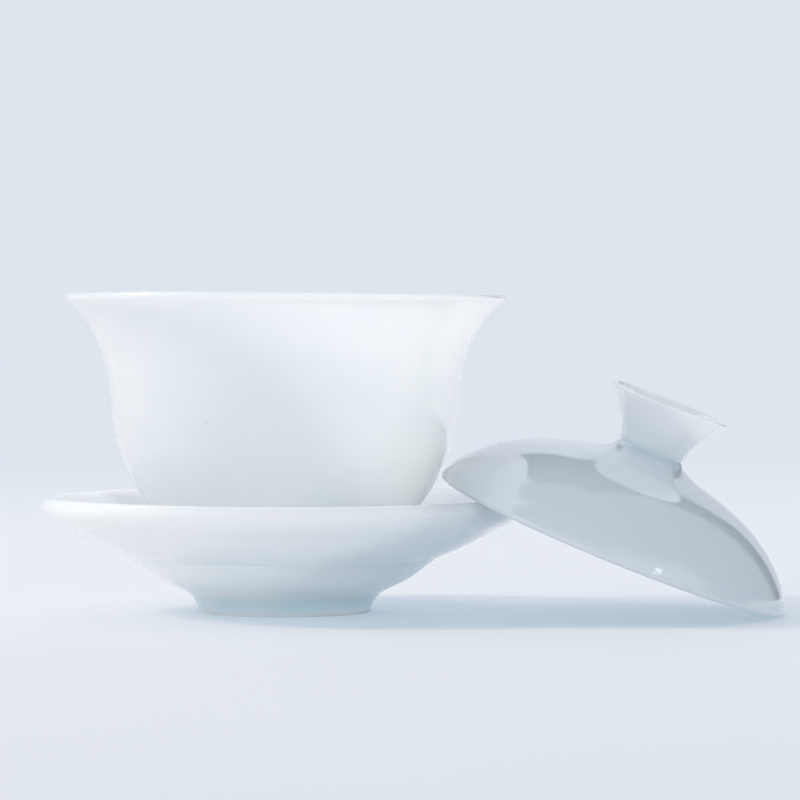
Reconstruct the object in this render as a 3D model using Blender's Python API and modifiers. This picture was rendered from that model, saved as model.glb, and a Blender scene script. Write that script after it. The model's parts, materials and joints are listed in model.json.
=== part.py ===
"""A porcelain gaiwan in metres, +Z up: saucer, flared tea bowl and domed lid.

The bowl stands in the saucer's well.  The lid is off the bowl and leans beside it: its lip
stands on the table at one point and lies over the saucer's rim at two more.  +X runs from
the saucer towards the lid.  The origin is the middle of the whole outline, on the table.

Every piece is turned.  Its outline is a list of (radius, height) points that starts on the
piece's own axis, runs out and down the outer side, and comes back to the axis underneath.
"""

import math

import bpy
from mathutils import Matrix, Vector

MM = 0.001
TURN_STEPS = 48

# Gap between pieces that touch on the real object.
REST_GAP = 0.35 * MM

# Saucer, heights above the table.
SAUCER_LIP_CIRCLE = 53.8 * MM
SAUCER_LIP_HEIGHT = 24.9 * MM
SAUCER_LIP_RADIUS = 1.2 * MM
SAUCER_EDGE = (55.2 * MM, 24.1 * MM)
SAUCER_LEDGE = (34.6 * MM, 12.3 * MM)
SAUCER_FOOT_RADIUS = 19.6 * MM
SAUCER_FOOT_INNER = 16.8 * MM
SAUCER_RECESS = 3.6 * MM
WELL_RADIUS = 22.2 * MM
WELL_FLOOR = 7.6 * MM
WELL_CREST = (28.0 * MM, 12.7 * MM)

# Bowl, heights above its own foot.
BOWL_HEIGHT = 64.0 * MM
BOWL_LIP_CIRCLE = 49.1 * MM
BOWL_LIP_RADIUS = 0.9 * MM
BOWL_WALL = 2.0 * MM
BOWL_FLOOR = 7.2 * MM
BOWL_FOOT_RADIUS = 20.4 * MM
BOWL_FOOT_INNER = 17.2 * MM
BOWL_RECESS = 3.8 * MM

# Lid, heights above the plane that its lip stands on when it lies flat.
LID_LIP_CIRCLE = 40.25 * MM
LID_LIP_RADIUS = 1.0 * MM
LID_WALL = 2.4 * MM
LID_CEILING = 18.3 * MM
KNOB_HEIGHT = 34.9 * MM
KNOB_LIP_CIRCLE = 13.1 * MM
KNOB_LIP_RADIUS = 0.55 * MM
KNOB_HOLLOW = 27.2 * MM

# How the lid leans: its tilt, and how far its low point is turned from +X towards -Y.
LID_LEAN = math.radians(22.2)
LID_TURN = math.radians(7.8)

FOOT_CHAMFER = 0.4 * MM

GLAZE_COLOUR = (0.80, 0.87, 0.90, 1.0)
GLAZE_ROUGHNESS = 0.12


def in_mm(*points):
    """Outline points given in millimetres, as metres."""
    return [(radius * MM, height * MM) for radius, height in points]


def clear_scene():
    for item in list(bpy.data.objects):
        bpy.data.objects.remove(item, do_unlink=True)


def knot_spans(points):
    """Centripetal knot spacing: the square root of each chord."""
    return [math.dist(a, b) ** 0.5 for a, b in zip(points, points[1:])]


def smooth_line(stations, count):
    """A smooth curve through all the stations, as count points spaced along it."""
    first = [2 * a - b for a, b in zip(stations[0], stations[1])]
    last = [2 * a - b for a, b in zip(stations[-1], stations[-2])]
    points = [Vector(p) for p in (first, *stations, last)]
    spans = knot_spans(points)
    spots = len(stations) - 1
    line = []
    for index in range(count):
        place = index * spots / (count - 1)
        span = min(int(place), spots - 1)
        line.append(catmull_rom(points[span:span + 4], spans[span:span + 3], place - span))
    return [tuple(p) for p in line]


def catmull_rom(points, spans, share):
    """The point at share (0 to 1) of the way between the two middle points."""
    knots = [0.0, spans[0], spans[0] + spans[1], sum(spans)]
    at = knots[1] + share * spans[1]
    level = list(points)
    for width in (1, 2):
        level = [
            level[i].lerp(level[i + 1], (at - knots[i]) / (knots[i + width] - knots[i]))
            for i in range(len(level) - 1)
        ]
    return level[0].lerp(level[1], (at - knots[1]) / spans[1])


def arc(centre, radius, start, end, count):
    """Points of a round lip, from angle start to angle end in degrees."""
    points = []
    for index in range(count):
        angle = math.radians(start + (end - start) * index / (count - 1))
        points.append((centre[0] + radius * math.cos(angle), centre[1] + radius * math.sin(angle)))
    return points


def inner_face(outer, wall):
    """Stations of a wall's inner face: each outer station moved in by the wall's thickness."""
    moved = []
    for index, (radius, height) in enumerate(outer):
        before = Vector(outer[max(index - 1, 0)])
        after = Vector(outer[min(index + 1, len(outer) - 1)])
        along = (after - before).normalized()
        moved.append((radius + along.y * wall, height - along.x * wall))
    return moved


def foot_ring(radius, inner, recess):
    """A foot's lower edge, flat underside and recess, in to the axis."""
    return [
        (radius, FOOT_CHAMFER),
        (radius - FOOT_CHAMFER, 0.0),
        (inner + FOOT_CHAMFER, 0.0),
        (inner, FOOT_CHAMFER),
        (inner - 2 * FOOT_CHAMFER, recess - FOOT_CHAMFER),
        (inner - 4 * FOOT_CHAMFER, recess),
        (0.0, recess),
    ]


def saucer_outline():
    well_edge = WELL_RADIUS + 1.4 * MM
    well = [
        (0.0, WELL_FLOOR),
        (WELL_RADIUS - 1.6 * MM, WELL_FLOOR),
        (WELL_RADIUS, WELL_FLOOR + 0.5 * MM),
        (well_edge, WELL_FLOOR + 2.2 * MM),
    ]
    ring_side = (well_edge + 0.5 * MM, WELL_FLOOR + 3.4 * MM)
    ring = smooth_line([ring_side, (25.6 * MM, 12.5 * MM), WELL_CREST], 4)
    dish = smooth_line([WELL_CREST, *in_mm((34.2, 14.8), (41.0, 18.2), (47.4, 22.0), (52.4, 25.2))], 7)
    lip = arc((SAUCER_LIP_CIRCLE, SAUCER_LIP_HEIGHT), SAUCER_LIP_RADIUS, 125, 5, 5)
    upper_stations = in_mm((53.8, 22.0), (47.8, 18.5), (41.0, 14.9))
    upper = smooth_line([SAUCER_EDGE, *upper_stations, SAUCER_LEDGE], 8)
    lower = smooth_line([SAUCER_LEDGE, *in_mm((32.0, 10.3), (28.0, 7.5), (22.9, 5.0))], 6)
    flare = smooth_line(in_mm((21.6, 4.2), (20.3, 2.5), (19.9, 1.2)), 3)
    foot = foot_ring(SAUCER_FOOT_RADIUS, SAUCER_FOOT_INNER, SAUCER_RECESS)
    return well + ring + dish[1:] + lip + upper + lower[1:] + flare + foot


def bowl_outline():
    wall = in_mm(
        (47.6, 60.8), (44.6, 57.1), (41.8, 51.4), (40.3, 44.4), (39.0, 35.4),
        (36.6, 26.6), (31.8, 17.7), (27.3, 12.9), (21.4, 9.2),
    )
    inside = [*inner_face(wall, BOWL_WALL)[:-1], (16.0 * MM, 8.4 * MM), (0.0, BOWL_FLOOR)]
    lip = arc((BOWL_LIP_CIRCLE, BOWL_HEIGHT - BOWL_LIP_RADIUS), BOWL_LIP_RADIUS, 150, -45, 6)
    foot_side = [(BOWL_FOOT_RADIUS + 0.5 * MM, 7.9 * MM), (BOWL_FOOT_RADIUS + 0.3 * MM, 5.0 * MM)]
    foot = foot_ring(BOWL_FOOT_RADIUS, BOWL_FOOT_INNER, BOWL_RECESS)
    return smooth_line(inside, 12)[::-1] + lip + smooth_line(wall, 13) + foot_side + foot


def lid_outline():
    hollow = [(0.0, KNOB_HOLLOW), *in_mm((5.0, 27.7), (8.6, 29.8), (11.0, 32.4), (12.4, 34.2))]
    knob_lip = arc((KNOB_LIP_CIRCLE, KNOB_HEIGHT - KNOB_LIP_RADIUS), KNOB_LIP_RADIUS, 120, -30, 4)
    neck = in_mm((11.6, 31.6), (9.5, 28.6), (8.1, 25.9), (7.5, 23.6), (8.4, 21.9))
    dome = in_mm((12.2, 20.1), (18.5, 18.4), (26.4, 15.4), (32.4, 11.8), (36.8, 8.0), (39.9, 4.2))
    lowest = math.degrees(LID_LEAN) - 90
    lip = arc((LID_LIP_CIRCLE, LID_LIP_RADIUS), LID_LIP_RADIUS, lowest + 90, lowest - 135, 6)
    under = [*inner_face(dome[::-1], -LID_WALL)[:-1], (0.0, LID_CEILING)]
    return (
        smooth_line(hollow, 5) + knob_lip + smooth_line(neck + dome, 17) + lip
        + smooth_line(under, 9)
    )


def porcelain(name, colour, roughness):
    material = bpy.data.materials.new(name)
    material.use_nodes = True
    shader = material.node_tree.nodes["Principled BSDF"]
    shader.inputs["Base Color"].default_value = colour
    shader.inputs["Roughness"].default_value = roughness
    shader.inputs["Metallic"].default_value = 0.0
    material.diffuse_color = colour
    return material


def turned_piece(name, outline, collection):
    """Turns an outline about its own vertical axis into one closed body."""
    mesh = bpy.data.meshes.new(name)
    points = [(radius, 0.0, height) for radius, height in outline]
    edges = [(i, i + 1) for i in range(len(points) - 1)]
    mesh.from_pydata(points, edges, [])
    piece = bpy.data.objects.new(name, mesh)
    collection.objects.link(piece)
    screw = piece.modifiers.new("turning", "SCREW")
    screw.axis = "Z"
    screw.angle = math.tau
    screw.steps = TURN_STEPS
    screw.render_steps = TURN_STEPS
    screw.use_merge_vertices = True
    screw.merge_threshold = 0.01 * MM
    screw.use_smooth_shade = True
    mesh.materials.append(porcelain(f"{name}_glaze", GLAZE_COLOUR, GLAZE_ROUGHNESS))
    return piece


def lid_rotation():
    """Tilts the lid's own axis towards +X, then turns it a little towards -Y."""
    return Matrix.Rotation(-LID_TURN, 4, "Z") @ Matrix.Rotation(LID_LEAN, 4, "Y")


def lid_height():
    """Height of the lid's own origin when its lip just stands on the table."""
    low_side = LID_LIP_CIRCLE * math.sin(LID_LEAN)
    return low_side - LID_LIP_RADIUS * math.cos(LID_LEAN) + LID_LIP_RADIUS


def lip_to_saucer(distance):
    """Clear space between the leaning lid's lip and the saucer's lip."""
    nearest = math.inf
    lip_centre = lid_height() + LID_LIP_RADIUS * math.cos(LID_LEAN)
    for step in range(361):
        angle = math.radians(step / 2)
        uphill = LID_LIP_CIRCLE * math.cos(angle)
        x = distance + LID_LIP_RADIUS * math.sin(LID_LEAN) - uphill * math.cos(LID_LEAN)
        y = LID_LIP_CIRCLE * math.sin(angle)
        z = lip_centre + uphill * math.sin(LID_LEAN)
        across = math.hypot(x, y) - SAUCER_LIP_CIRCLE
        nearest = min(nearest, math.hypot(across, z - SAUCER_LIP_HEIGHT))
    return nearest - LID_LIP_RADIUS - SAUCER_LIP_RADIUS


def lid_distance():
    """How far out the lid stands so that its lip rests over the saucer's lip."""
    near = SAUCER_LIP_CIRCLE + LID_LIP_CIRCLE * 0.4
    far = SAUCER_LIP_CIRCLE + LID_LIP_CIRCLE * 0.7
    for _ in range(40):
        middle = (near + far) / 2
        if lip_to_saucer(middle) < REST_GAP:
            near = middle
        else:
            far = middle
    return far


def saucer_axis_x(lid_centre):
    """Where the saucer's axis stands so that the whole outline is centred on the origin."""
    axis = lid_rotation() @ Vector((0.0, 0.0, 1.0))
    lip_reach = LID_LIP_CIRCLE * math.sqrt(1 - axis.x ** 2) + LID_LIP_RADIUS
    lid_end = lid_centre.x + LID_LIP_RADIUS * axis.x + lip_reach
    saucer_end = SAUCER_EDGE[0]
    return (saucer_end - lid_end) / 2


def build():
    clear_scene()
    collection = bpy.data.collections.new("gaiwan")
    bpy.context.scene.collection.children.link(collection)

    towards_lid = Matrix.Rotation(-LID_TURN, 4, "Z") @ Vector((1.0, 0.0, 0.0))
    lid_centre = towards_lid * lid_distance() + Vector((0.0, 0.0, lid_height()))

    saucer_axis = bpy.data.objects.new("saucer_axis", None)
    saucer_axis.location = (saucer_axis_x(lid_centre), 0.0, 0.0)
    collection.objects.link(saucer_axis)

    saucer = turned_piece("saucer", saucer_outline(), collection)
    saucer.parent = saucer_axis

    bowl = turned_piece("bowl", bowl_outline(), collection)
    bowl.parent = saucer_axis
    bowl.location = (0.0, 0.0, WELL_FLOOR + REST_GAP)

    lid = turned_piece("lid", lid_outline(), collection)
    lid.parent = saucer_axis
    lid.location = lid_centre
    lid.rotation_euler = lid_rotation().to_euler()
    bpy.context.view_layer.update()


build()
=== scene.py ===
"""Looks of the porcelain gaiwan: saucer, flared tea bowl and leaning lid, in metres, +Z up.

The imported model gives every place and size.  Each piece is turned here again at a fine
resolution in its own frame (its axis is local Z, its foot or lip plane is local Z = 0),
given the slight unevenness of a hand-finished pot, and glazed with a procedural material.
"""

import json
import math

import bmesh
import bpy
from mathutils import Matrix, Vector


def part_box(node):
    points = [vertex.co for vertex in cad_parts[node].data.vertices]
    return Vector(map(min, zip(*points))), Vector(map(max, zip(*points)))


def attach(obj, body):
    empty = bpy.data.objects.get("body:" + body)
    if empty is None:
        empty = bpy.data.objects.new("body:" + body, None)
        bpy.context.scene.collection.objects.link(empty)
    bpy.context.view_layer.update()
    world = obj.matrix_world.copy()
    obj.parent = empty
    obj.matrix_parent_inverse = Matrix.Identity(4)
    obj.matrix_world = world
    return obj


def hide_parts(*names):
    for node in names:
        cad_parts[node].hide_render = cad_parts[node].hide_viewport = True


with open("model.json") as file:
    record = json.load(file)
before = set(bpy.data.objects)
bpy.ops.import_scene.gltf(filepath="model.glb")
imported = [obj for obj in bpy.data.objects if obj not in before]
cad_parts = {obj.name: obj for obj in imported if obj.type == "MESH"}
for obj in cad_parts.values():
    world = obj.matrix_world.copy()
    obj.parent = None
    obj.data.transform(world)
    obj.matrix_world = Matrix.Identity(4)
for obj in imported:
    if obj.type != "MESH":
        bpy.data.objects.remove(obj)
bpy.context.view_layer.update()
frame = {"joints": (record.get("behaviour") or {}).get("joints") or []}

MM = 0.001
AROUND = 240
ON_AXIS = 1e-6
OWN_PLACE = "own_place"

# Driving sizes in mm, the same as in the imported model.  A foot is its outer radius, its inner
# radius and the height of the recess inside it.
SAUCER_LIP_CIRCLE = 53.8
SAUCER_LIP_HEIGHT = 24.9
SAUCER_LIP_RADIUS = 1.2
SAUCER_EDGE = (55.2, 24.1)
SAUCER_FOOT = (19.6, 16.8, 3.6)
WELL_FLOOR = 7.6
WELL_CREST = (28.0, 12.7)

BOWL_HEIGHT = 64.0
BOWL_LIP_CIRCLE = 49.1
BOWL_LIP_RADIUS = 0.9
BOWL_WALL = 2.0
BOWL_FLOOR = 7.2
BOWL_FOOT = (20.4, 17.2, 3.8)

LID_LIP_CIRCLE = 40.25
LID_LIP_RADIUS = 1.0
LID_WALL = 2.4
LID_CEILING = 18.3
KNOB_HEIGHT = 34.9
KNOB_LIP_CIRCLE = 13.1
KNOB_LIP_RADIUS = 0.55
KNOB_HOLLOW = 27.2

# Height of the bare clay band on a foot ring, and how far the glaze stands proud of it.
BARE_HEIGHT = 0.55
GLAZE_STEP = 0.12

# In mm: the saucer is even inside STEADY_RADIUS, and the knob leans by KNOB_LEAN over
# KNOB_RISE, from KNOB_FOOT up.
STEADY_RADIUS = 24.0
KNOB_FOOT = 23.0
KNOB_RISE = 12.0
KNOB_LEAN = 0.10


# ---------------------------------------------------------------- outlines, in millimetres

def knot_spans(points):
    return [math.dist(a, b) ** 0.5 for a, b in zip(points, points[1:])]


def catmull_rom(points, spans, share):
    """The point at share (0 to 1) of the way between the two middle points."""
    knots = [0.0, spans[0], spans[0] + spans[1], sum(spans)]
    at = knots[1] + share * spans[1]
    level = list(points)
    for width in (1, 2):
        level = [
            level[i].lerp(level[i + 1], (at - knots[i]) / (knots[i + width] - knots[i]))
            for i in range(len(level) - 1)
        ]
    return level[0].lerp(level[1], (at - knots[1]) / spans[1])


def smooth_line(stations, per_span=8):
    """A centripetal curve through all the stations, with per_span points from each to the next."""
    first = [2 * a - b for a, b in zip(stations[0], stations[1])]
    last = [2 * a - b for a, b in zip(stations[-1], stations[-2])]
    points = [Vector(p) for p in (first, *stations, last)]
    spans = knot_spans(points)
    line = []
    for span in range(len(stations) - 1):
        for step in range(per_span):
            place = catmull_rom(points[span:span + 4], spans[span:span + 3], step / per_span)
            line.append(tuple(place))
    line.append(tuple(stations[-1]))
    return line


def arc(centre, radius, start, end, count=14):
    """Points of a round edge, from angle start to angle end in degrees."""
    points = []
    for index in range(count):
        angle = math.radians(start + (end - start) * index / (count - 1))
        across, up = radius * math.cos(angle), radius * math.sin(angle)
        points.append((centre[0] + across, centre[1] + up))
    return points


def straight(start, end, count):
    """count points of a line, with both ends."""
    last = count - 1
    return [tuple(a + (b - a) * i / last for a, b in zip(start, end)) for i in range(count)]


def inner_face(outer, wall):
    """Stations of a wall's inner face: each outer station moved in by the wall's thickness."""
    moved = []
    for index, (radius, height) in enumerate(outer):
        before = Vector(outer[max(index - 1, 0)])
        after = Vector(outer[min(index + 1, len(outer) - 1)])
        along = (after - before).normalized()
        moved.append((radius + along.y * wall, height - along.x * wall))
    return moved


def foot_ring(radius, inner, recess):
    """A foot's side below the glaze line, its rounded standing edge and the recess inside it."""
    edge = 0.4
    standing = arc((radius - GLAZE_STEP - edge, edge), edge, 0, -90, 7)
    heel = arc((inner + edge, edge), edge, -90, -180, 7)
    recess_line = smooth_line(
        [
            (inner, edge), (inner - 0.3, recess * 0.5), (inner - 0.8, recess - 0.7),
            (inner - 1.8, recess - 0.1), (inner - 3.6, recess), (inner - 7.0, recess),
        ],
        5,
    )
    glaze_edge = [
        (radius, BARE_HEIGHT + 0.25),
        (radius - 0.03, BARE_HEIGHT + 0.08),
        (radius - GLAZE_STEP, BARE_HEIGHT),
    ]
    middle = straight((inner - 8.0, recess), (0.0, recess), 6)
    return glaze_edge + standing + heel + recess_line[1:] + middle


def saucer_outline():
    floor = straight((0.0, WELL_FLOOR), (19.0, WELL_FLOOR), 8)
    well = smooth_line(
        [(19.6, WELL_FLOOR), (20.8, WELL_FLOOR + 0.03), (22.2, 8.1), (23.6, 9.8), (24.3, 11.2),
         (25.6, 12.4), WELL_CREST, (34.2, 14.8), (41.0, 18.2), (47.4, 22.0), (52.4, 25.2)],
        8,
    )
    lip = arc((SAUCER_LIP_CIRCLE, SAUCER_LIP_HEIGHT), SAUCER_LIP_RADIUS, 130, 12, 14)
    side = smooth_line(
        [lip[-1], SAUCER_EDGE, (53.8, 22.0), (47.8, 18.5), (41.0, 14.9), (35.6, 12.6)], 8,
    )
    ledge = smooth_line(
        [(34.9, 12.35), (34.6, 12.2), (34.2, 11.9), (32.0, 10.3), (28.0, 7.5), (22.9, 5.0)], 7,
    )
    flare = smooth_line(
        [(21.6, 4.2), (20.5, 2.9), (19.9, 1.7), (SAUCER_FOOT[0], BARE_HEIGHT + 0.5)], 6,
    )
    return floor + well + lip[1:] + side[1:] + ledge + flare + foot_ring(*SAUCER_FOOT)


def bowl_outline():
    wall = [
        (47.6, 60.8), (44.6, 57.1), (41.8, 51.4), (40.3, 44.4), (39.0, 35.4),
        (36.6, 26.6), (31.8, 17.7), (27.3, 12.9), (21.4, 9.2),
    ]
    inside = [*inner_face(wall, BOWL_WALL)[:-1], (16.0, 8.4), (8.0, 7.4), (2.0, BOWL_FLOOR)]
    lip = arc((BOWL_LIP_CIRCLE, BOWL_HEIGHT - BOWL_LIP_RADIUS), BOWL_LIP_RADIUS, 123, -42, 18)
    inner = smooth_line([lip[0], *inside], 9)[::-1]
    glaze_line = (BOWL_FOOT[0], BARE_HEIGHT + 0.5)
    outer = smooth_line([lip[-1], *wall, (20.9, 8.2), (20.7, 5.0), glaze_line], 9)
    return [(0.0, BOWL_FLOOR)] + inner[:-1] + lip + outer[1:] + foot_ring(*BOWL_FOOT)


def lid_outline():
    hollow = smooth_line(
        [(1.0, KNOB_HOLLOW), (5.0, 27.7), (8.6, 29.8), (11.0, 32.4), (12.4, 34.2)], 7,
    )
    knob_lip = arc((KNOB_LIP_CIRCLE, KNOB_HEIGHT - KNOB_LIP_RADIUS), KNOB_LIP_RADIUS, 145, -40, 12)
    neck = smooth_line([knob_lip[-1], (11.6, 31.6), (9.5, 28.6), (8.1, 25.9), (7.5, 23.7)], 8)
    seam = [(7.4, 23.45), (7.28, 23.3), (7.42, 23.16)]
    dome = [(12.2, 20.1), (18.5, 18.4), (26.4, 15.4), (32.4, 11.8), (36.8, 8.0), (39.9, 4.2)]
    lean = math.degrees(lid_lean())
    lip = arc((LID_LIP_CIRCLE, LID_LIP_RADIUS), LID_LIP_RADIUS, lean, -142, 22)
    outer = smooth_line([(7.6, 22.95), (8.4, 21.9), *dome, lip[0]], 9)
    ceiling = [(7.0, LID_CEILING), (1.0, LID_CEILING)]
    under = [lip[-1], *inner_face(dome[::-1], -LID_WALL)[:-1], *ceiling]
    return (
        [(0.0, KNOB_HOLLOW)] + hollow + knob_lip + neck[1:] + seam + outer + lip[1:]
        + smooth_line(under, 9)[1:] + [(0.0, LID_CEILING)]
    )


# ---------------------------------------------------------------- placing, from the frame

def lid_axis():
    """The lid's own axis: the direction in which the lid_lift joint slides."""
    joint = next(j for j in frame["joints"] if j["name"] == "lid_lift")
    return Vector(joint["axis"]).normalized()


def lid_lean():
    return math.acos(lid_axis().z)


def lid_place():
    """The lid's frame: tilted about its axis, its lip plane's centre found from its box."""
    low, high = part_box("lid")
    axis = lid_axis()
    reach = []
    for part in axis:
        reach.append((LID_LIP_CIRCLE * math.sqrt(1 - part ** 2) + LID_LIP_RADIUS) * MM)
    lip_centre = Vector((high.x - reach[0], low.y + reach[1], low.z + reach[2]))
    turn = math.atan2(axis.y, axis.x)
    rotation = Matrix.Rotation(turn, 4, "Z") @ Matrix.Rotation(lid_lean(), 4, "Y")
    return Matrix.Translation(lip_centre - axis * LID_LIP_RADIUS * MM) @ rotation


def upright_place(node):
    low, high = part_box(node)
    return Matrix.Translation(((low.x + high.x) / 2, (low.y + high.y) / 2, low.z))


# ---------------------------------------------------------------- meshes

def turned_mesh(name, outline, uneven, place):
    """One closed turned body, put where place says.

    uneven(radius, height, angle) gives each point in the piece's own frame, and the mesh keeps
    it as the attribute OWN_PLACE, which the materials read.
    """
    work = bmesh.new()
    rings = []
    for radius, height in outline:
        if radius < ON_AXIS:
            rings.append([work.verts.new(Vector(uneven(0.0, height, 0.0)) * MM)])
            continue
        ring = []
        for step in range(AROUND):
            angle = math.tau * step / AROUND
            ring.append(work.verts.new(Vector(uneven(radius, height, angle)) * MM))
        rings.append(ring)
    for upper, lower in zip(rings, rings[1:]):
        for step in range(AROUND):
            after = (step + 1) % AROUND
            if len(upper) == 1:
                corners = [upper[0], lower[step], lower[after]]
            elif len(lower) == 1:
                corners = [upper[step], lower[0], upper[after]]
            else:
                corners = [upper[step], lower[step], lower[after], upper[after]]
            work.faces.new(corners)
    mesh = bpy.data.meshes.new(name)
    work.to_mesh(mesh)
    work.free()
    mesh.shade_smooth()
    own = mesh.attributes.new(OWN_PLACE, "FLOAT_VECTOR", "POINT")
    for vertex in mesh.vertices:
        own.data[vertex.index].vector = vertex.co
    mesh.transform(place)
    return mesh


def ripple(angle, *waves):
    """A sum of soft waves round the piece: (count, size, phase in degrees) each."""
    return sum(
        size * math.cos(count * (angle - math.radians(phase))) for count, size, phase in waves
    )


def uneven_bowl(radius, height, angle):
    """The rim dips a little on the lid's side and stands a hair high on the other."""
    share = (height / BOWL_HEIGHT) ** 3 * (radius / BOWL_LIP_CIRCLE)
    lift = share * ripple(angle, (1, -0.20, 0), (2, 0.05, 60), (3, 0.05, 125))
    out = 1 + share * ripple(angle, (2, 0.0012, 25), (3, 0.0007, 70))
    return (radius * out * math.cos(angle), radius * out * math.sin(angle), height + lift)


def uneven_saucer(radius, height, angle):
    """Even inside the well, and wavier the nearer the rim."""
    share = max(0.0, (radius - STEADY_RADIUS) / (SAUCER_EDGE[0] - STEADY_RADIUS)) ** 2
    lift = share * ripple(angle, (2, 0.12, 35), (3, 0.06, 80))
    out = 1 + share * ripple(angle, (2, 0.0008, 10), (3, 0.0005, 40))
    return (radius * out * math.cos(angle), radius * out * math.sin(angle), height + lift)


def uneven_lid(radius, height, angle):
    """The dome is a hair out of round, and the knob leans a little."""
    share = (radius / LID_LIP_CIRCLE) ** 2
    out = 1 + share * ripple(angle, (2, 0.0006, 15), (3, 0.0004, 50))
    lean = KNOB_LEAN * max(0.0, (height - KNOB_FOOT) / KNOB_RISE)
    return (radius * out * math.cos(angle) + lean, radius * out * math.sin(angle), height)


# ---------------------------------------------------------------- materials

class Nodes:
    """A short way to write a node tree: each call adds a node and links its inputs."""

    def __init__(self, tree):
        self.tree = tree

    def add(self, kind, inputs=None, **settings):
        node = self.tree.nodes.new(kind)
        for key, value in settings.items():
            setattr(node, key, value)
        for key, value in (inputs or {}).items():
            if isinstance(value, bpy.types.NodeSocket):
                self.tree.links.new(value, node.inputs[key])
            else:
                node.inputs[key].default_value = value
        return node

    def math(self, operation, first, second=0.0, third=0.0):
        node = self.add("ShaderNodeMath", {0: first, 1: second, 2: third}, operation=operation)
        return node.outputs[0]

    def length(self, across, along):
        squares = [self.math("MULTIPLY", side, side) for side in (across, along)]
        return self.math("SQRT", self.math("ADD", *squares))

    def ramp(self, value, low, high, start=0.0, end=1.0):
        """value's place between low and high, eased, as start to end."""
        node = self.add(
            "ShaderNodeMapRange",
            {"Value": value, "From Min": low, "From Max": high, "To Min": start, "To Max": end},
            interpolation_type="SMOOTHSTEP",
        )
        return node.outputs["Result"]

    def mix(self, factor, first, second):
        node = self.add("ShaderNodeMix", {"Factor": factor, 6: first, 7: second}, data_type="RGBA")
        return node.outputs[2]

    def own_place(self):
        """The shaded point in the piece's own frame."""
        return self.add("ShaderNodeAttribute", attribute_name=OWN_PLACE).outputs["Vector"]

    def noise(self, vector, scale, detail=2.0, roughness=0.5):
        node = self.add(
            "ShaderNodeTexNoise",
            {"Vector": vector, "Scale": scale, "Detail": detail, "Roughness": roughness},
        )
        return node.outputs["Fac"]


def new_material(name):
    material = bpy.data.materials.new(name)
    material.use_nodes = True
    material.node_tree.nodes.clear()
    return material, Nodes(material.node_tree)


def near(nodes, radius, height, place, reach):
    """1 at a ring of the piece, given as (radius, height) in mm, falling to 0 at reach."""
    across = nodes.math("SUBTRACT", radius, place[0] * MM)
    up = nodes.math("SUBTRACT", height, place[1] * MM)
    return nodes.ramp(nodes.length(across, up), 0.0, reach * MM, 1.0, 0.0)


GLAZE = (0.84, 0.90, 0.93, 1.0)
GLAZE_LIGHT = (0.88, 0.92, 0.945, 1.0)
# Darker, greener glaze for rings at the feet and creases: partly glaze pooled thick, partly painted
# shade.
GLAZE_POOLED_AND_SHADED = (0.56, 0.73, 0.76, 1.0)
SPECK = (0.42, 0.40, 0.36, 1.0)
BARE_CLAY = (0.82, 0.82, 0.80, 1.0)
CLAY_STAIN = (0.77, 0.73, 0.67, 1.0)
CLAY_GRAIN = (0.62, 0.60, 0.56, 1.0)

# Relief of the glaze, which is a slow wave, orange peel, throwing rings and pinholes, and of
# the bare clay, which is its grain.  Each has the scale of its pattern and its depth in mm.
WAVE_SCALE, WAVE_DEPTH = 42.0, 0.011
PEEL_SCALE, PEEL_DEPTH = 420.0, 0.0008
RING_SCALE, RING_DEPTH = 1500.0, 0.0006
PIT_SCALE, PIT_DEPTH = 190.0, 0.05
GRAIN_SCALE, GRAIN_DEPTH = 1400.0, 0.05


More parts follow.
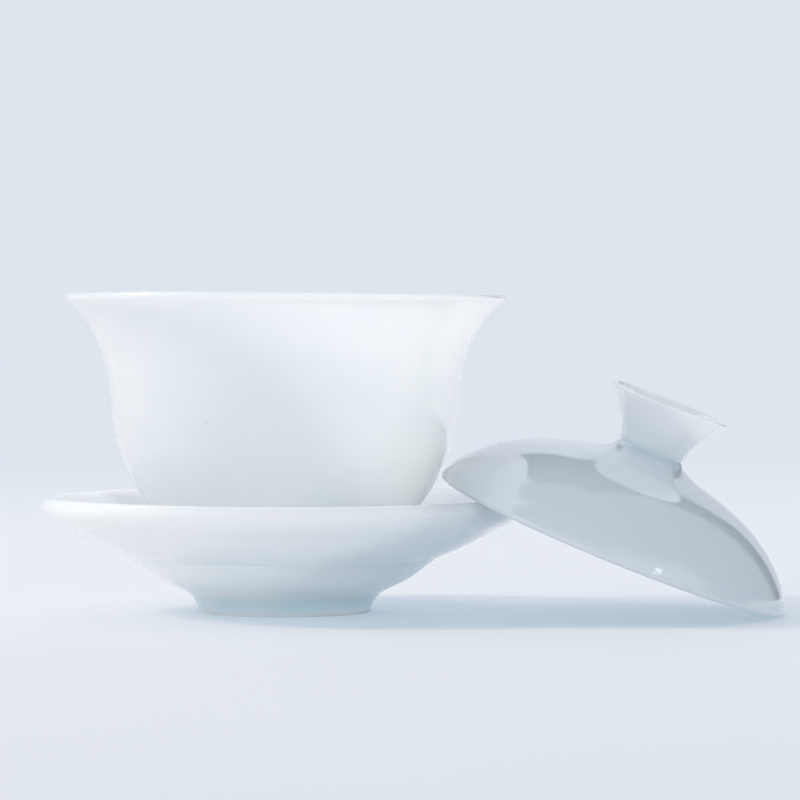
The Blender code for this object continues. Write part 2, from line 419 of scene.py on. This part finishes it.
def glaze_material(name, pools_and_shade, thin_places, painted_light_and_shade=1.0, shine=1.6, glow=14.0):
    """Clear bluish glaze over translucent porcelain.

    tone darkens or lightens the whole piece's glaze colour as painted shade and painted light,
    in place of the light that falls on that piece; shine is the refractive index of its glassy
    coat, and glow is how far light spreads inside the porcelain, in mm.

    pools are rings at the feet and creases whose glaze is painted darker and greener, partly
    for glaze pooled thick and partly as painted shade in these hollows; thin_places are lips where
    it draws back and the clay shows whiter.  Each is ((radius, height), reach) in mm, and a ring
    of pools has its depth, 0 to 1, after them.
    """
    material, nodes = new_material(name)
    local = nodes.own_place()
    parts = nodes.add("ShaderNodeSeparateXYZ", {0: local})
    x, y, height = parts.outputs
    radius = nodes.length(x, y)

    cloud = nodes.noise(local, 55.0, 4.0, 0.55)
    # Painted light and shade: the whole glaze colour is scaled by the tone factor, lighter above 1,
    # darker below 1.
    plain, light, deep_and_shaded = (
        (*(part * painted_light_and_shade for part in paint[:3]), 1.0) for paint in (GLAZE, GLAZE_LIGHT, GLAZE_POOLED_AND_SHADED)
    )
    colour = nodes.mix(nodes.ramp(cloud, 0.35, 0.7, 0.0, 0.45), plain, light)
    for place, reach in thin_places:
        thin = nodes.math("MULTIPLY", near(nodes, radius, height, place, reach), 0.75)
        colour = nodes.mix(thin, colour, light)
    # Painted shade mixed with pooled glaze: rings at the feet and creases are made darker and
    # greener.
    for place, reach, depth in pools_and_shade:
        pooled_and_shaded = near(nodes, radius, height, place, reach)
        broken = nodes.math("MULTIPLY", pooled_and_shaded, nodes.ramp(cloud, 0.2, 0.75, 0.5 * depth, depth))
        colour = nodes.mix(broken, colour, deep_and_shaded)
    cells = nodes.add(
        "ShaderNodeTexVoronoi", {"Vector": local, "Scale": PIT_SCALE, "Randomness": 1.0},
    )
    chance = nodes.add("ShaderNodeSeparateColor", {0: cells.outputs["Color"]}).outputs[0]
    rare = nodes.ramp(chance, 0.93, 0.96)
    spot = nodes.ramp(cells.outputs["Distance"], 0.02, 0.055, 1.0, 0.0)
    dot = nodes.math("MULTIPLY", spot, rare)
    colour = nodes.mix(nodes.math("MULTIPLY", dot, 0.5), colour, SPECK)

    wave = nodes.math("MULTIPLY", nodes.noise(local, WAVE_SCALE, 1.0), WAVE_DEPTH * MM)
    peel = nodes.math("MULTIPLY", nodes.noise(local, PEEL_SCALE, 2.0), PEEL_DEPTH * MM)
    wander = nodes.math("MULTIPLY", nodes.noise(local, 30.0, 2.0), 5.0)
    down = nodes.math("MULTIPLY", nodes.math("ADD", radius, height), RING_SCALE)
    along = nodes.math("ADD", down, wander)
    rings = nodes.math("MULTIPLY", nodes.math("SINE", along), RING_DEPTH * MM)
    pits = nodes.math("MULTIPLY", dot, -PIT_DEPTH * MM)
    relief = nodes.math("ADD", nodes.math("ADD", wave, peel), nodes.math("ADD", rings, pits))
    bump = nodes.add("ShaderNodeBump", {"Height": relief, "Distance": 1.0, "Strength": 1.0})

    roughness = nodes.ramp(nodes.noise(local, 130.0, 3.0), 0.3, 0.75, 0.10, 0.19)
    shader = nodes.add(
        "ShaderNodeBsdfPrincipled",
        {
            "Base Color": colour,
            "Roughness": roughness,
            "Normal": bump.outputs[0],
            "IOR": 1.5,
            "Subsurface Weight": 1.0,
            "Subsurface Scale": glow * MM,
            "Subsurface Radius": (1.0, 1.0, 1.0),
            "Coat Weight": 1.0,
            "Coat Roughness": 0.03,
            "Coat IOR": shine,
            "Coat Normal": bump.outputs[0],
        },
    )
    output = nodes.add("ShaderNodeOutputMaterial")
    nodes.tree.links.new(shader.outputs[0], output.inputs["Surface"])
    return material


def bare_clay_material(name):
    """The unglazed standing edge of a foot: dry, slightly warm, finely gritty."""
    material, nodes = new_material(name)
    local = nodes.own_place()
    grain = nodes.noise(local, GRAIN_SCALE, 3.0, 0.6)
    stain = nodes.noise(local, 160.0, 3.0, 0.6)
    warm = nodes.mix(nodes.ramp(stain, 0.35, 0.75, 0.0, 0.7), BARE_CLAY, CLAY_STAIN)
    colour = nodes.mix(nodes.ramp(grain, 0.55, 0.8, 0.0, 0.35), warm, CLAY_GRAIN)
    relief = nodes.math("MULTIPLY", grain, GRAIN_DEPTH * MM)
    bump = nodes.add("ShaderNodeBump", {"Height": relief, "Distance": 1.0, "Strength": 1.0})
    shader = nodes.add(
        "ShaderNodeBsdfPrincipled",
        {
            "Base Color": colour,
            "Roughness": nodes.ramp(grain, 0.3, 0.8, 0.7, 0.9),
            "Normal": bump.outputs[0],
        },
    )
    output = nodes.add("ShaderNodeOutputMaterial")
    nodes.tree.links.new(shader.outputs[0], output.inputs["Surface"])
    return material


# ---------------------------------------------------------------- pieces

def finish_piece(name, outline, uneven, place, body, glaze):
    mesh = turned_mesh(name, outline, uneven, place)
    piece = bpy.data.objects.new(name, mesh)
    bpy.context.scene.collection.objects.link(piece)
    mesh.materials.append(glaze)
    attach(piece, body)
    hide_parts(body)
    return piece


def bare_foot(piece, clay):
    """Gives the faces of the standing edge the bare clay."""
    piece.data.materials.append(clay)
    margin = 0.02
    lowest = min(vertex.co.z for vertex in piece.data.vertices)
    for face in piece.data.polygons:
        if face.center.z < lowest + (BARE_HEIGHT + margin) * MM:
            face.material_index = 1


clay = bare_clay_material("bare_clay")

saucer = finish_piece(
    "saucer_dish", saucer_outline(), uneven_saucer, upright_place("saucer"),
    "saucer",
    glaze_material(
        "saucer_glaze",
        # Rings painted darker and greener at the foot, the well and the ledge: pooled glaze and
        # painted shade.
        [((20.6, 2.6), 3.6, 0.9), ((22.0, 7.9), 3.4, 0.6), ((34.2, 12.0), 3.0, 0.25)],
        [((SAUCER_LIP_CIRCLE, SAUCER_LIP_HEIGHT), 3.0)],
        # Painted light: the saucer's glaze is made lighter overall, in place of more light falling
        # on it.
        painted_light_and_shade=1.03,
    ),
)
bare_foot(saucer, clay)

bowl = finish_piece(
    "bowl_cup", bowl_outline(), uneven_bowl, upright_place("bowl"), "bowl",
    glaze_material(
        "bowl_glaze",
        # Rings painted darker and greener above the foot and inside it: pooled glaze and painted
        # shade.
        [((20.9, 8.0), 3.0, 0.9), ((17.0, 4.0), 4.0, 0.9)],
        [((BOWL_LIP_CIRCLE, BOWL_HEIGHT), 4.5)],
        glow=22.0,
    ),
)
bare_foot(bowl, clay)

finish_piece(
    "lid_dome", lid_outline(), uneven_lid, lid_place(), "lid",
    glaze_material(
        "lid_glaze",
        # Rings painted darker and greener at the knob's seam and inside the lip: pooled glaze and
        # painted shade.
        [((7.9, 22.8), 2.4, 0.6), ((39.0, 2.4), 2.2, 0.5)],
        [((LID_LIP_CIRCLE, LID_LIP_RADIUS), 2.6), ((KNOB_LIP_CIRCLE, KNOB_HEIGHT), 2.4)],
        # Painted shade: the lid's glaze is made darker overall, standing in for the shade of the
        # bowl over it.
        painted_light_and_shade=0.885,
        shine=1.95,
    ),
)


# ---------------------------------------------------------------- studio

HORIZON = (0.730, 0.784, 0.852, 1.0)
SKY = (0.39, 0.435, 0.495, 1.0)

# The table top: its radius in m, and from where to where it fades into the horizon.
TABLE_RADIUS = 6.0
FADE = (0.25, 1.3)

# The camera: its place in m, how far it looks down in degrees, and its lens in mm.
CAMERA_PLACE = (-0.0024, -0.948, 0.0665)
CAMERA_DIP = 1.127
CAMERA_LENS = 188.6


def studio_floor():
    """A wide pale table top that fades into the backdrop's colour far from the object."""
    work = bmesh.new()
    bmesh.ops.create_circle(work, cap_ends=True, segments=96, radius=TABLE_RADIUS)
    mesh = bpy.data.meshes.new("table_top")
    work.to_mesh(mesh)
    work.free()
    floor = bpy.data.objects.new("table_top", mesh)
    bpy.context.scene.collection.objects.link(floor)
    material, nodes = new_material("table_top")
    local = nodes.add("ShaderNodeTexCoord").outputs["Object"]
    length = nodes.add("ShaderNodeVectorMath", {0: local}, operation="LENGTH").outputs["Value"]
    board = nodes.add(
        "ShaderNodeBsdfPrincipled",
        {
            "Base Color": (0.565, 0.495, 0.455, 1.0), "Roughness": 0.55, "IOR": 1.3,
            "Emission Color": (0.222, 0.300, 0.375, 1.0), "Emission Strength": 1.0,
        },
    )
    far = nodes.add("ShaderNodeEmission", {"Color": HORIZON})
    both = nodes.add(
        "ShaderNodeMixShader",
        {0: nodes.ramp(length, *FADE), 1: board.outputs[0], 2: far.outputs[0]},
    )
    output = nodes.add("ShaderNodeOutputMaterial")
    nodes.tree.links.new(both.outputs[0], output.inputs["Surface"])
    mesh.materials.append(material)


def studio_world():
    """Soft light all round: large pale panels on the left, in front and behind, and dim gaps."""
    world = bpy.data.worlds.new("studio")
    bpy.context.scene.world = world
    world.use_nodes = True
    world.node_tree.nodes.clear()
    nodes = Nodes(world.node_tree)
    way = nodes.add("ShaderNodeTexCoord").outputs["Generated"]
    x, y, z = nodes.add("ShaderNodeSeparateXYZ", {0: way}).outputs
    height = nodes.math("DEGREES", nodes.math("ARCSINE", z))
    back = nodes.math("DEGREES", nodes.math("ARCTAN2", x, y))
    front = nodes.math("DEGREES", nodes.math("ARCTAN2", x, nodes.math("MULTIPLY", y, -1.0)))

    def between(value, low, high, soft):
        """1 from low to high, easing to 0 over soft degrees on either side."""
        rise = nodes.ramp(value, low - soft, low)
        return nodes.math("MULTIPLY", rise, nodes.ramp(value, high, high + soft, 1.0, 0.0))

    def panel(colour, turn, width, rise, soft, paint):
        """colour with one soft-edged panel painted on it, width and rise in degrees."""
        seen = nodes.math("MULTIPLY", between(turn, *width, soft), between(height, *rise, soft))
        return nodes.mix(seen, colour, paint)

    colour = panel(SKY, front, (-110, 60), (-90, 24), 24, (0.77, 0.835, 0.91, 1.0))
    colour = panel(colour, front, (-122, -62), (-90, 20), 16, (1.26, 1.29, 1.33, 1.0))
    colour = panel(colour, back, (-80, 38), (-90, 70), 4, (0.12, 0.15, 0.18, 1.0))
    colour = panel(colour, back, (-105, -26), (-90, 66), 8, (0.95, 0.98, 1.03, 1.0))
    colour = panel(colour, back, (-60, 26), (-90, 36), 3, (0.60, 0.65, 0.71, 1.0))
    colour = panel(colour, back, (-60, 8), (-90, 37), 4, HORIZON)
    sky = nodes.add("ShaderNodeBackground", {"Color": colour, "Strength": 1.0})
    output = nodes.add("ShaderNodeOutputWorld")
    nodes.tree.links.new(sky.outputs[0], output.inputs["Surface"])


def area_light(name, place, aim, size, power, colour, mirrored=True):
    """A soft oval light at place, facing aim: places and size in m, power in W.

    A light that isn't mirrored lights the glaze but isn't seen in it.
    """
    light = bpy.data.lights.new(name, "AREA")
    light.shape = "ELLIPSE"
    light.size, light.size_y = size
    light.energy = power
    light.color = colour
    item = bpy.data.objects.new(name, light)
    item.location = place
    item.rotation_euler = (Vector(aim) - Vector(place)).to_track_quat("-Z", "Y").to_euler()
    item.visible_glossy = mirrored
    bpy.context.scene.collection.objects.link(item)


def studio_lights():
    area_light(
        "window_left", (-1.10, 0.0, 0.82), (-0.02, 0.0, 0.02), (0.16, 0.30), 7.9, (1.0, 0.92, 0.78),
    )
    area_light(
        "ceiling", (0.0, 0.25, 1.1), (0.0, 0.0, 0.0), (0.8, 0.8), 2.2, (0.92, 0.97, 1.0),
        mirrored=False,
    )
    area_light(
        "behind", (0.35, 0.95, 0.50), (0.0, 0.0, 0.03), (0.9, 0.5), 1.4, (0.95, 0.98, 1.0),
        mirrored=False,
    )
    area_light(
        "glint_right", (0.70, -0.85, 0.40), (0.05, -0.03, 0.02), (0.20, 0.04), 0.045,
        (1.0, 1.0, 1.0),
    )


def camera():
    data = bpy.data.cameras.new("camera")
    data.type = "PERSP"
    data.sensor_width = 36.0
    data.lens = CAMERA_LENS
    data.clip_end = 50.0
    item = bpy.data.objects.new("camera", data)
    item.location = CAMERA_PLACE
    item.rotation_euler = (math.radians(90 - CAMERA_DIP), 0.0, 0.0)
    bpy.context.scene.collection.objects.link(item)
    bpy.context.scene.camera = item


studio_floor()
studio_world()
studio_lights()
camera()
bpy.context.scene.view_settings.view_transform = "Standard"
bpy.context.scene.view_settings.look = "None"
